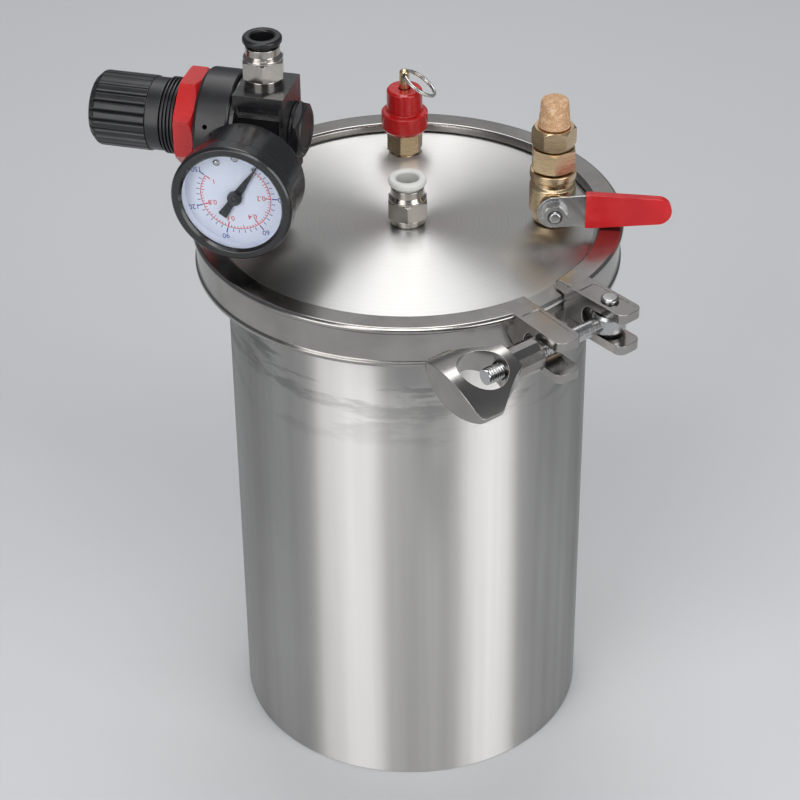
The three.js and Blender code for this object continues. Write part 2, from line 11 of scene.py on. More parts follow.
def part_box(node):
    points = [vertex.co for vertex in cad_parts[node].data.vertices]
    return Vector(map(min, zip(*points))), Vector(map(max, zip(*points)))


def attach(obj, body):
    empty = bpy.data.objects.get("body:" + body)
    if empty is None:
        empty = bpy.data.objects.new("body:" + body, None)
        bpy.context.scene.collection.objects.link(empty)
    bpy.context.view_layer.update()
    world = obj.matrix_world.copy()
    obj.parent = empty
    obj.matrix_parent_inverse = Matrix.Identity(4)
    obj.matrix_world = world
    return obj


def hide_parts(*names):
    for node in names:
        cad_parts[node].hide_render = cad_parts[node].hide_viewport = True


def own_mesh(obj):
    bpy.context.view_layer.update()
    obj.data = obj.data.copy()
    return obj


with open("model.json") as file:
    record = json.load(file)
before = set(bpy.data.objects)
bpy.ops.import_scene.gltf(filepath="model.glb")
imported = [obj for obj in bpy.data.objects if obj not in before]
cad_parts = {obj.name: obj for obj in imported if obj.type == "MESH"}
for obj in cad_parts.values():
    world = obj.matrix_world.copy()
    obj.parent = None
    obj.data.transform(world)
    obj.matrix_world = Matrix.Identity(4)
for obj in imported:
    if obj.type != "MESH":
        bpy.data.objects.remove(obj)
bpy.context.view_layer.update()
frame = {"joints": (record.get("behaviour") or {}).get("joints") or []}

# Lengths are in millimetres and become metres as each mesh is made.
MM = 0.001
# Sides of round pieces, from the vessel down to the smallest pins
FINE, LARGE, BROAD, ROUND, SMALL, MINOR, TINY = 160, 112, 96, 72, 40, 32, 24
JOINTS = {joint["name"]: joint for joint in frame["joints"]}


def cad_box(node):
    """Lowest and highest corner of a CAD node, in millimetres."""
    low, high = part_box(node)
    return low / MM, high / MM


def heights(node):
    """Lowest and highest Z of a CAD node, in millimetres."""
    low, high = cad_box(node)
    return low.z, high.z


def joint_place(name):
    """Point on a joint's axis, in millimetres."""
    return Vector(JOINTS[name]["pos_m"]) / MM


# Driving dimensions, read from the frame where a node or a joint gives them
TUBE_R = cad_box("vessel_shell")[1].x
SHELL_TOP = heights("vessel_shell")[1]
FERRULE_R = cad_box("lid_plate")[1].x
LID_BASE, LID_TOP = heights("lid_plate")
CLAMP_BASE, CLAMP_TOP = heights("clamp_front")
HINGE = joint_place("clamp_front_open")
BOLT_PIN = joint_place("bolt_swing")
REGULATOR = joint_place("knob_turn")
DIAL_AXIS = joint_place("pointer_turn")
VALVE = joint_place("lever_turn")
RING = joint_place("ring_swing")
BOLT_DEG = math.degrees(math.atan2(*(-Vector(JOINTS["wing_nut_turn"]["axis"])).yx)) - 180
REGULATOR_YAW_DEG = -15
TUBE_WALL = 1.5
LIP_R = 69.1
CLAMP_R = 78.3
GROOVE_R = 72.9
HINGE_DEG = 130.5
FRONT_EAR = {"deg": -54.5, "offset": -6.4, "end": -55.6}
REAR_EAR = {"deg": -50, "offset": 13.6, "end": -42.6}
EAR_WIDTH = 10
EAR_TIP = 101.8
PLATE_THICK = 3.5
PORT_R = 4.9
BOLT_R = 3
PORTS = {"centre": (0, 0), "inlet": (REGULATOR.x, REGULATOR.y), "relief": (RING.x, RING.y),
         "vent": (VALVE.x, VALVE.y)}
POINTER_ZERO_DEG = 57
FULL_SWEEP_DEG = 270
DIAL_TURN_DEG = 189
DIAL_Z = 36.2
RING_TILT_DEG = 35
NUT_TILT_DEG = -15.8


# Placing

def shift(x=0.0, y=0.0, z=0.0):
    return Matrix.Translation((x * MM, y * MM, z * MM))


def turn(degrees, axis):
    return Matrix.Rotation(math.radians(degrees), 4, axis)


# Meshes

def link(name, data):
    obj = bpy.data.objects.new(name, data)
    bpy.context.scene.collection.objects.link(obj)
    return obj


def mesh_object(name, points, faces):
    mesh = bpy.data.meshes.new(name)
    mesh.from_pydata([Vector(p) * MM for p in points], [], faces)
    work = bmesh.new()
    work.from_mesh(mesh)
    bmesh.ops.recalc_face_normals(work, faces=work.faces)
    work.to_mesh(mesh)
    work.free()
    return link(name, mesh)


def rounded(points, radius, closed=False):
    """The same outline with each corner turned into an arc. A third value is a corner's own radius."""
    made, steps = [], 4
    for i, point in enumerate(points):
        here = Vector(point[:2])
        size = point[2] if len(point) > 2 else radius
        if size <= 0 or (not closed and i in (0, len(points) - 1)):
            made.append(here)
            continue
        before = Vector(points[i - 1][:2]) - here
        after = Vector(points[(i + 1) % len(points)][:2]) - here
        corner = before.angle(after)
        if corner > math.radians(176):
            made.append(here)
            continue
        reach = min(size / math.tan(corner / 2), 0.48 * before.length, 0.48 * after.length)
        start, end = here + before.normalized() * reach, here + after.normalized() * reach
        for k in range(steps + 1):
            t = k / steps
            made.append((1 - t) ** 2 * start + 2 * t * (1 - t) * here + t * t * end)
    return made


def turned(name, profile, sides=ROUND, radius=0.3, ring=False):
    """Body turned about Z from [radius, height] points, on the axis at both ends unless it is a ring."""
    points, rows, faces = [], [], []
    for p in rounded(profile, radius, closed=ring):
        count = 1 if p.x < 1e-6 else sides
        rows.append(range(len(points), len(points) + count))
        angles = [2 * math.pi * k / sides for k in range(count)]
        points += [(p.x * math.cos(a), p.x * math.sin(a), p.y) for a in angles]
    for low, high in zip(rows, rows[1:] + (rows[:1] if ring else [])):
        for k in range(sides):
            corners = [low[k % len(low)], low[(k + 1) % len(low)], high[(k + 1) % len(high)],
                       high[k % len(high)]]
            face = list(dict.fromkeys(corners))
            if len(face) > 2:
                faces.append(face)
    return mesh_object(name, points, faces)


def tube(name, inner, outer, low, high, sides=ROUND, radius=0.2):
    return turned(name, [(inner, low), (outer, low), (outer, high), (inner, high)], sides, radius,
                  ring=True)


def rod(name, radius, low, high, sides=SMALL):
    return turned(name, [(0, low), (radius, low), (radius, high), (0, high)], sides, 0)


def prism(name, outline, low, high):
    count = len(outline)
    points = [(p[0], p[1], z) for z in (low, high) for p in outline]
    sides = [(k, (k + 1) % count, (k + 1) % count + count, k + count) for k in range(count)]
    return mesh_object(name, points, [range(count - 1, -1, -1), range(count, 2 * count), *sides])


def box(name, x, y, z):
    return prism(name, [(x[0], y[0]), (x[1], y[0]), (x[1], y[1]), (x[0], y[1])], *z)


def polygon(count, circumradius, start=0.0):
    angles = [math.radians(start) + 2 * math.pi * k / count for k in range(count)]
    return [(circumradius * math.cos(a), circumradius * math.sin(a)) for a in angles]


def arc(centre, radius, start, end, steps=16):
    angles = [math.radians(start + (end - start) * k / steps) for k in range(steps + 1)]
    return [(centre[0] + radius * math.cos(a), centre[1] + radius * math.sin(a)) for a in angles]


def wire(name, points, radius):
    """Round wire along points, as a mesh."""
    curve = bpy.data.curves.new(name, "CURVE")
    curve.dimensions = "3D"
    curve.bevel_depth, curve.bevel_resolution, curve.use_fill_caps = radius * MM, 3, True
    spline = curve.splines.new("POLY")
    spline.points.add(len(points) - 1)
    for slot, point in zip(spline.points, points):
        slot.co = (*(Vector(point) * MM), 1)
    return settled(link(name, curve))


def helix(radius, low, high, turns, start=0.0, steps=32):
    count = int(turns * steps)
    shares = [k / count for k in range(count + 1)]
    angles = [math.radians(start) + 2 * math.pi * turns * t for t in shares]
    return [(radius * math.cos(a), radius * math.sin(a), low + (high - low) * t)
            for a, t in zip(angles, shares)]


def threaded(name, radius, low, high, depth=0.5):
    """Rod with a helical thread whose crests are at the given radius."""
    pitch, sides = 1.0, 36
    steps = int((high - low) / pitch * 8)
    points, faces = [(0, 0, low), (0, 0, high)], []
    for row in range(steps + 1):
        z = low + (high - low) * row / steps
        run_out = min(1, (z - low) / pitch, (high - z) / pitch)
        for k in range(sides):
            phase = ((z - low) / pitch - k / sides) % 1
            r = radius - depth * abs(2 * phase - 1) * run_out - 0.25 * (1 - run_out)
            angle = 2 * math.pi * k / sides
            points.append((r * math.cos(angle), r * math.sin(angle), z))
    for k in range(sides):
        n = (k + 1) % sides
        last = 2 + steps * sides
        faces += [(0, 2 + n, 2 + k), (1, last + k, last + n)]
        for first in range(2, last, sides):
            faces.append((first + k, first + n, first + sides + n, first + sides + k))
    return mesh_object(name, points, faces)


def settled(obj):
    """Makes the result of an object's modifiers, or a curve's shape, into its mesh."""
    graph = bpy.context.evaluated_depsgraph_get()
    mesh = bpy.data.meshes.new_from_object(obj.evaluated_get(graph))
    if obj.type == "MESH":
        obj.modifiers.clear()
        obj.data = mesh
        return obj
    name, place = obj.name, obj.matrix_world.copy()
    bpy.data.objects.remove(obj)
    made = link(name, mesh)
    made.matrix_world = place
    return made


def combined(obj, others, operation):
    for other in others:
        cut = obj.modifiers.new("cut", "BOOLEAN")
        cut.operation, cut.object, cut.solver = operation, other, "EXACT"
        settled(obj)
        bpy.data.objects.remove(other)
    work = bmesh.new()
    work.from_mesh(obj.data)
    bmesh.ops.remove_doubles(work, verts=work.verts, dist=0.01 * MM)
    bmesh.ops.dissolve_limit(work, angle_limit=math.radians(0.5), verts=work.verts, edges=work.edges)
    work.to_mesh(obj.data)
    work.free()
    return obj


def without(obj, *others):
    return combined(obj, others, "DIFFERENCE")


def within(obj, *others):
    return combined(obj, others, "INTERSECT")


def joined(obj, *others):
    return combined(obj, others, "UNION")


def softened(obj, width=0.3, segments=3, angle=32):
    """Rounds the edges sharper than an angle."""
    bevel = obj.modifiers.new("edges", "BEVEL")
    bevel.width, bevel.segments = width * MM, segments
    bevel.limit_method, bevel.angle_limit = "ANGLE", math.radians(angle)
    bevel.miter_outer = "MITER_ARC"
    return settled(obj)


def moved(obj, place):
    obj.data.transform(place)
    return obj


def hexagon(name, flats, low, high, start=0.0, fall=0.5):
    """Hexagon bar whose corners are turned off at both ends."""
    corner = flats / math.sqrt(3) + 0.05
    drop = fall * (corner - flats / 2)
    turning = turned(name + "_turning", [(0, low), (flats / 2, low), (corner, low + drop),
                                         (corner, high - drop), (flats / 2, high), (0, high)], ROUND, 0)
    return within(prism(name, polygon(6, flats / math.sqrt(3), start), low, high), turning)


# Materials

MATERIALS = {}


class Surface:
    """Builder of one procedural material on the Principled shader."""

    def __init__(self, slot, metallic=0.0, anisotropic=0.0, coat=0.0, specular=0.5, transmission=0.0):
        self.material = bpy.data.materials.new(slot)
        self.material.use_nodes = True
        self.nodes, self.links = self.material.node_tree.nodes, self.material.node_tree.links
        self.shader = self.nodes["Principled BSDF"]
        for socket, value in (("Metallic", metallic), ("Anisotropic", anisotropic),
                              ("Anisotropic Rotation", 0.25), ("Coat Weight", coat),
                              ("Coat Roughness", 0.08), ("Specular IOR Level", specular),
                              ("Transmission Weight", transmission)):
            self.shader.inputs[socket].default_value = value
        self.where = self.nodes.new("ShaderNodeTexCoord").outputs["Object"]
        MATERIALS[slot] = self.material

    def noise(self, scale, grain=(1, 1, 1), detail=4.0, source=None, roughness=0.55):
        mapping = self.nodes.new("ShaderNodeMapping")
        mapping.inputs["Scale"].default_value = grain
        self.links.new(source or self.where, mapping.inputs["Vector"])
        texture = self.nodes.new("ShaderNodeTexNoise")
        texture.inputs["Scale"].default_value = scale
        texture.inputs["Detail"].default_value = detail
        texture.inputs["Roughness"].default_value = roughness
        self.links.new(mapping.outputs["Vector"], texture.inputs["Vector"])
        return texture.outputs["Fac"]

    def ramp(self, value, low, high):
        """value from low to high, spread over 0 to 1."""
        node = self.nodes.new("ShaderNodeMapRange")
        node.inputs["From Min"].default_value, node.inputs["From Max"].default_value = low, high
        self.links.new(value, node.inputs["Value"])
        return node.outputs["Result"]

    def colour(self, first, second, share):
        """Base colour between two colours by share. The first may be an earlier result."""
        node = self.nodes.new("ShaderNodeMix")
        node.data_type = "RGBA"
        if isinstance(first, tuple):
            node.inputs["A"].default_value = (*first, 1)
        else:
            self.links.new(first, node.inputs["A"])
        node.inputs["B"].default_value = (*second, 1)
        self.links.new(share, node.inputs["Factor"])
        self.links.new(node.outputs["Result"], self.shader.inputs["Base Color"])
        return node.outputs["Result"]

    def roughness(self, value, low, high):
        node = self.nodes.new("ShaderNodeMapRange")
        node.inputs["From Min"].default_value, node.inputs["From Max"].default_value = 0.25, 0.75
        node.inputs["To Min"].default_value, node.inputs["To Max"].default_value = low, high
        self.links.new(value, node.inputs["Value"])
        self.links.new(node.outputs["Result"], self.shader.inputs["Roughness"])

    def bump(self, height, depth, strength=0.5):
        """Relief whose full height is depth, in millimetres."""
        node = self.nodes.new("ShaderNodeBump")
        node.inputs["Strength"].default_value, node.inputs["Distance"].default_value = strength, depth * MM
        self.links.new(height, node.inputs["Height"])
        self.links.new(node.outputs["Normal"], self.shader.inputs["Normal"])

    def product(self, first, second):
        node = self.nodes.new("ShaderNodeMath")
        node.operation = "MULTIPLY"
        self.links.new(first, node.inputs[0])
        self.links.new(second, node.inputs[1])
        return node.outputs[0]

    def edges(self, colour, first):
        """Worn convex edges, broken up by noise."""
        pointiness = self.nodes.new("ShaderNodeNewGeometry").outputs["Pointiness"]
        patches = self.ramp(self.noise(180), 0.35, 0.6)
        return self.colour(first, colour, self.product(self.ramp(pointiness, 0.52, 0.6), patches))

    def painted_clamp_reflection(self):
        """Share of the dark, ragged band under the vessel's flange: painted shade and a painted reflection
        of the dark clamp, not a mark on the steel.
        """
        parts = self.nodes.new("ShaderNodeSeparateXYZ")
        self.links.new(self.where, parts.inputs["Vector"])
        patches = self.ramp(self.noise(75, (0.3, 0.3, 1.5), 8, roughness=0.65), 0.52, 0.6)
        return self.product(self.ramp(parts.outputs["Z"], 0.150, 0.198), patches)

    def radial_tangent(self):
        tangent = self.nodes.new("ShaderNodeTangent")
        tangent.direction_type, tangent.axis = "RADIAL", "Z"
        self.links.new(tangent.outputs["Tangent"], self.shader.inputs["Tangent"])

    def radius(self):
        """Distance from the piece's own Z axis, as a vector along X."""
        parts = self.nodes.new("ShaderNodeSeparateXYZ")
        flat = self.nodes.new("ShaderNodeCombineXYZ")
        length = self.nodes.new("ShaderNodeVectorMath")
        length.operation = "LENGTH"
        made = self.nodes.new("ShaderNodeCombineXYZ")
        self.links.new(self.where, parts.inputs["Vector"])
        self.links.new(parts.outputs["X"], flat.inputs["X"])
        self.links.new(parts.outputs["Y"], flat.inputs["Y"])
        self.links.new(flat.outputs["Vector"], length.inputs[0])
        self.links.new(length.outputs["Value"], made.inputs["X"])
        return made.outputs["Vector"]


def polished_steel():
    """Polished tube: faint lines run round it, and its highlights are stretched up and down."""
    s = Surface("polished_steel", metallic=1, anisotropic=1)
    s.radial_tangent()
    streaks = s.ramp(s.noise(55, (1, 1, 0.02), 3), 0.35, 0.65)
    base = s.colour((0.58, 0.565, 0.55), (0.73, 0.715, 0.695), streaks)
    # Dark ragged band near the flange: painted shade and a painted reflection of the clamp.
    s.colour(base, (0.30, 0.295, 0.29), s.painted_clamp_reflection())
    lines = s.noise(900, (0.02, 0.02, 1), 3)
    s.roughness(s.noise(60, (1, 1, 0.2)), 0.42, 0.5)
    s.bump(lines, 0.004, 0.25)


def brushed_steel():
    """Flat lid turned and brushed round its centre."""
    s = Surface("brushed_steel", metallic=1, anisotropic=0.9)
    s.radial_tangent()
    rings = s.noise(2600, source=s.radius(), detail=3)
    s.colour((0.48, 0.475, 0.46), (0.62, 0.615, 0.60), s.ramp(rings, 0.3, 0.7))
    s.roughness(s.noise(700, source=s.radius()), 0.36, 0.46)
    s.bump(rings, 0.01, 0.3)


def metal(slot, dark, light, low, high, relief=0.01, grain=(1, 1, 1), fine=500):
    s = Surface(slot, metallic=1)
    s.colour(dark, light, s.ramp(s.noise(60), 0.3, 0.7))
    texture = s.noise(fine, grain, 5)
    s.roughness(texture, low, high)
    s.bump(texture, relief, 0.35)


def sintered_bronze():
    """Pressed and sintered grains with open pores between them."""
    s = Surface("sintered_bronze", metallic=0.35, specular=0.3)
    cells = s.nodes.new("ShaderNodeTexVoronoi")
    cells.inputs["Scale"].default_value = 2100
    s.links.new(s.where, cells.inputs["Vector"])
    base = s.colour((0.47, 0.27, 0.14), (0.74, 0.50, 0.31), s.ramp(cells.outputs["Distance"], 0.75, 0.15))
    s.colour(base, (0.83, 0.62, 0.43), s.ramp(s.noise(420), 0.5, 0.75))
    s.roughness(s.noise(1500), 0.62, 0.9)
    inverted = s.nodes.new("ShaderNodeMath")
    inverted.operation = "SUBTRACT"
    inverted.inputs[0].default_value = 1
    s.links.new(cells.outputs["Distance"], inverted.inputs[1])
    s.bump(inverted.outputs[0], 0.22, 0.8)


def moulding(slot, dark, light, low, high, relief, worn=None, coat=0.0, fine=900):
    """Plastic or paint: faint mottling, a fine moulded grain, and worn edges where a colour is given."""
    s = Surface(slot, coat=coat)
    base = s.colour(dark, light, s.ramp(s.noise(45), 0.3, 0.7))
    if worn:
        s.edges(worn, base)
    texture = s.noise(fine, detail=3)
    s.roughness(s.noise(140), low, high)
    s.bump(texture, relief, 0.35)


def clear_lens():
    s = Surface("clear_lens", transmission=1.0)
    s.shader.inputs["IOR"].default_value = 1.12
    s.colour((0.97, 0.985, 1.0), (0.94, 0.96, 0.98), s.noise(30))
    s.roughness(s.noise(90), 0.0, 0.03)


def print_ink(name, colour):
    s = Surface(name)
    s.colour(colour, tuple(min(1, c * 1.5 + 0.03) for c in colour), s.ramp(s.noise(2500), 0.4, 0.8))
    s.roughness(s.noise(300), 0.45, 0.6)


def make_materials():
    polished_steel()
    brushed_steel()
    metal("cast_steel", (0.31, 0.295, 0.28), (0.40, 0.385, 0.365), 0.17, 0.22, 0.006, fine=420)
    metal("plated_steel", (0.40, 0.40, 0.40), (0.56, 0.56, 0.56), 0.18, 0.32, 0.01, (0.2, 0.2, 3))
    metal("spring_steel", (0.50, 0.50, 0.49), (0.72, 0.72, 0.70), 0.2, 0.34, 0.006)
    metal("nickel_brass", (0.36, 0.335, 0.305), (0.52, 0.49, 0.455), 0.12, 0.24, 0.008, (0.1, 0.1, 3))
    metal("yellow_brass", (0.56, 0.41, 0.25), (0.76, 0.60, 0.39), 0.2, 0.36, 0.012, (0.1, 0.1, 3))
    sintered_bronze()
    moulding("red_plastic", (0.40, 0.003, 0.004), (0.54, 0.006, 0.006), 0.2, 0.34, 0.008,
             (0.75, 0.10, 0.09), 0.3)
    moulding("red_vinyl", (0.40, 0.001, 0.004), (0.52, 0.003, 0.007), 0.34, 0.48, 0.03,
             (0.72, 0.08, 0.07), 0.05, 260)
    moulding("black_plastic", (0.006, 0.006, 0.007), (0.014, 0.014, 0.016), 0.26, 0.4, 0.02,
             (0.06, 0.06, 0.064), 0, 1300)
    moulding("black_enamel", (0.006, 0.006, 0.007), (0.012, 0.012, 0.013), 0.2, 0.32, 0.012,
             (0.07, 0.07, 0.07), 0.3, 500)
    moulding("grey_plastic", (0.55, 0.55, 0.52), (0.68, 0.68, 0.65), 0.3, 0.42, 0.01)
    moulding("rubber", (0.012, 0.012, 0.012), (0.03, 0.03, 0.03), 0.55, 0.75, 0.02)
    moulding("ptfe", (0.72, 0.71, 0.68), (0.84, 0.83, 0.80), 0.35, 0.5, 0.01)
    moulding("dial_face", (0.70, 0.73, 0.84), (0.78, 0.81, 0.90), 0.4, 0.55, 0.004)
    clear_lens()
    print_ink("ink_blue", (0.02, 0.045, 0.26))
    print_ink("ink_red", (0.55, 0.012, 0.02))


# Pieces

def piece(obj, body, slot, node=None, place=None, material=None, sharp=40):
    """Finishes a piece: shading, material, place, the body that it rides on and the node it stands for."""
    if place is not None:
        obj.matrix_world = place
    for face in obj.data.polygons:
        face.use_smooth = True
    obj.data.set_sharp_from_angle(angle=math.radians(sharp))
    weighted = obj.modifiers.new("normals", "WEIGHTED_NORMAL")
    weighted.keep_sharp = True
    obj.data.materials.clear()
    obj.data.materials.append(MATERIALS[material or slot])
    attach(obj, body)
    if node:
        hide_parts(node)


def coil_spring(name, radius, low, high, turns, wire_radius, place, node):
    """Coil spring of round wire wound along a helix, made into a mesh."""
    coil = wire(name, helix(radius, low, high, turns), wire_radius)
    piece(coil, "lid", "spring_steel", node, place)
    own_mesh(coil)


def hollow_thread(name, low, high, bore, slot, place):
    """Threaded end of a fitting, with a waterway through it."""
    thread = without(threaded(name, PORT_R, low, high), rod("waterway", bore, low - 1, high + 1))
    piece(thread, "lid", slot, None, place, sharp=70)


# Vessel

def make_vessel():
    inner = TUBE_R - TUBE_WALL
    shell = turned("pot_shell", [(0, 0), (TUBE_R, 0, 1.1), (TUBE_R, SHELL_TOP), (inner, SHELL_TOP),
                                 (inner, 2, 3), (0, 2)], FINE, 0.3)
    piece(shell, "vessel", "polished_steel", "vessel_shell")
    low, high = heights("vessel_flange")
    flange = turned("pot_flange", [(inner, low), (TUBE_R, low), (67.5, low + 1), (FERRULE_R, low + 2.7),
                                   (FERRULE_R, high), (inner, high)], FINE, 0.5, ring=True)
    piece(flange, "vessel", "brushed_steel", "vessel_flange")
    weld = turned("pot_weld", [(TUBE_R - 0.3, low - 1), (TUBE_R + 0.5, low - 0.6),
                               (TUBE_R + 0.5, low + 0.5), (TUBE_R - 0.3, low + 0.9)], FINE, 0.4,
                  ring=True)
    piece(weld, "vessel", "cast_steel")
    low, high = heights("gasket")
    piece(tube("pot_gasket", inner + 0.3, FERRULE_R - 0.5, low, high, FINE, 0.35), "vessel", "ptfe",
          "gasket")


# Lid

def make_lid():
    plate = turned("lid_disc", [(0, LID_BASE), (FERRULE_R, LID_BASE), (FERRULE_R, 207.9),
                                (67.5, LID_TOP, 1.5), (0, LID_TOP)], FINE, 0.4)
    holes = []
    for name, (x, y) in PORTS.items():
        holes.append(moved(rod("hole", 5.3, LID_BASE - 1, LID_TOP + 1, SMALL), shift(x, y)))
        low, high = heights(f"lid_boss_{name}")
        boss = tube(f"lid_socket_{name}", 5.3, 9, low, high, ROUND, 0.5)
        piece(boss, "lid", "cast_steel", f"lid_boss_{name}", shift(x, y))
        bead = turned(f"lid_weld_{name}", [(8.7, high - 1.2), (10.2, high), (8.7, high)], ROUND, 0.3,
                      ring=True)
        piece(bead, "lid", "cast_steel", None, shift(x, y))
    piece(without(plate, *holes), "lid", "brushed_steel", "lid_plate")


def make_push_fitting(name, port, tail, collar_slot):
    """Hexagon body with a neck, and a release collar round its socket."""
    x, y = PORTS[port]
    base = heights(f"{name}_body")[0] + tail
    place = shift(x, y, base)
    neck = turned("neck", [(0, 6), (7, 6), (7, 7.6, 0.8), (6.1, 8.9, 0.6), (6.1, 11.7), (0, 11.7)],
                  ROUND, 0.3)
    body = joined(hexagon(f"{name}_hex", 14, 0, 6.9, 30), neck)
    body = without(body, rod("bore", 5.6, 3, 13), rod("waterway", 3, -1, 4))
    piece(softened(body, 0.22, 2), "lid", "nickel_brass", f"{name}_body", place)
    hollow_thread(f"{name}_thread", -tail, 0, 3, "nickel_brass", place)
    washer = tube(f"{name}_washer", PORT_R + 0.1, 6.6, -2.6, -0.1, ROUND, 0.4)
    piece(washer, "lid", "nickel_brass", None, place)
    piece(tube(f"{name}_seal", 4.2, 5.2, 3.6, 4.9, SMALL, 0.5), "lid", "rubber", f"{name}_oring", place)
    grip = turned(f"{name}_grip", [(4.3, 5.5), (5.2, 5.9), (5.2, 6.3), (4.3, 5.9)], SMALL, 0.05, ring=True)
    piece(grip, "lid", "spring_steel", f"{name}_grip_ring", place)
    collar = turned(f"{name}_release", [(4.1, 7.7), (5.2, 7.7), (5.2, 12.8), (6.6, 12.8), (7, 13.4, 0.4),
                                        (7, 14.6, 0.8), (6.4, 15.4, 0.8), (4.7, 15.4, 0.7),
                                        (4.1, 14.8, 0.5)], ROUND, 0.15, ring=True)
    piece(collar, f"{name.split('_')[0]}_collar", collar_slot, f"{name}_collar", place)


# Relief valve

def make_relief_valve():
    place = shift(*PORTS["relief"])
    low = heights("relief_body")[0]
    body = joined(hexagon("relief_hex", 12, 211, 219, 16), rod("neck", 5.7, 218, 233))
    body = without(body, rod("bore", 4.4, 214, 234), rod("waterway", 2.5, 209, 215))
    piece(softened(body, 0.2, 2), "lid", "yellow_brass", "relief_body", place)
    hollow_thread("relief_thread", low, 211.1, 2.5, "yellow_brass", place)
    cap = turned("relief_cover", [(6.1, 219.3), (7.6, 219.3), (8.8, 220.9, 0.8), (8.8, 226.8, 0.5),
                                  (8.3, 227.2), (6.75, 227.4, 0.5), (6.75, 235.7, 0.8), (6.0, 236.6, 0.5),
                                  (2.3, 236.6), (2.3, 233.5), (6.1, 233.5)], ROUND, 0.25, ring=True)
    piece(cap, "lid", "red_plastic", "relief_cap", place)
    piece(turned("relief_seal", [(0, 214.3), (3.6, 214.3), (3.6, 216), (0, 216)], SMALL, 0.3),
          "relief_stem", "rubber", "relief_disc", place)
    stem = turned("relief_pin", [(0, 216.3), (3.9, 216.3), (3.9, 217.4), (1.87, 217.4),
                                 (1.87, 243.6, 1.2), (0, 244.5)], SMALL, 0.3)
    cross = moved(rod("cross", 1.2, -4, 4, TINY), shift(0, 0, RING.z) @ turn(90, "X"))
    piece(without(stem, cross), "relief_stem", "yellow_brass", "relief_stem", place)
    coil_spring("relief_coil", 3.1, 218.1, 232.8, 7, 0.45, place, "relief_spring")
    loops = [Vector(p) + Vector((7, 0, 0)) for p in helix(7, -0.5, 0.5, 1.92, 10, 64)]
    ring = wire("relief_ring", loops, 0.48)
    piece(ring, "pull_ring", "spring_steel", "pull_ring",
          shift(*RING) @ turn(RING_TILT_DEG, "Y"))


# Vent: ball valve with its lever, and the silencer

def make_vent_valve():
    place = shift(*VALVE)
    forward = turn(90, "X")
    outline = [(6, -5.6), (6.9, -5.8), (8.4, -4.8, 0.5), (8.4, 5.2, 0.4), (7.5, 6), (7.5, 7.6),
               (8.4, 8.4, 0.3), (8.4, 11.2, 0.5), (6, 11.7)]
    body = joined(turned("valve_barrel", outline, ROUND, 0.3, ring=True),
                  moved(tube("stuffing_box", 2.7, 5, 5.9, 9.2, SMALL, 0), forward))
    body = without(body, moved(rod("stem_hole", 2.7, 4, 10), forward))
    piece(softened(body, 0.2, 2, 40), "lid", "yellow_brass", "vent_valve_body", place)
    root = turned("valve_root", [(3, -8.9), (6.9, -9), (6.9, -5.6), (6, -5.6), (3, -7.4)], ROUND, 0.25,
                  ring=True)
    piece(root, "lid", "yellow_brass", None, place)
    hollow_thread("valve_thread", -20.2, -8.8, 3, "yellow_brass", place)
    end = joined(hexagon("valve_end", 15, 12, 20.4, 30), rod("spigot", 5.6, 7.9, 12.3))
    end = without(end, rod("waterway", 3.4, 7, 16), rod("mouth", 5.2, 15, 21))
    piece(softened(end, 0.3, 3), "lid", "yellow_brass", "vent_valve_end", place)
    lower = turned("valve_seat_low", [(3.4, -7.3), (5.7, -7.3), (5.7, -3.6), (5.2, -3.6), (3.4, -5)],
                   SMALL, 0.1, ring=True)
    upper = turned("valve_seat_high", [(3.4, 5), (5.2, 3.6), (5.7, 3.6), (5.7, 7.6), (3.4, 7.6)], SMALL,
                   0.1, ring=True)
    piece(lower, "lid", "ptfe", "vent_seat_lower", place)
    piece(upper, "lid", "ptfe", "vent_seat_upper", place)
    make_silencer(place)
    make_lever(place @ forward)
    globe = turned("valve_globe", arc((0, 0), 5.5, -90, 90, 24), ROUND, 0)
    globe = without(globe, moved(rod("waterway", 3.2, -7, 7), turn(90, "Y")),
                    moved(rod("slot", 2.9, 4.1, 7), forward))
    piece(globe, "lever", "nickel_brass", "vent_ball", place)


def make_silencer(place):
    base = hexagon("silencer_hex", 14, 20.7, 28.4, 0, fall=1.1)
    base = without(joined(base, rod("tail", PORT_R, 15.5, 21)), rod("waterway", 3, 15, 27),
                   rod("seat", 5.5, 26.3, 29))
    piece(softened(base, 0.3, 3), "lid", "yellow_brass", "silencer_base", place)
    element = turned("silencer_core", [(0, 26.6), (5.2, 26.6), (5.2, 28.7), (6, 28.7), (5.6, 30.4, 1),
                                       (4.95, 38.2, 1.1), (4.2, 39, 0.8), (0, 39)], ROUND, 0.3)
    piece(element, "lid", "sintered_bronze", "silencer_element", place)


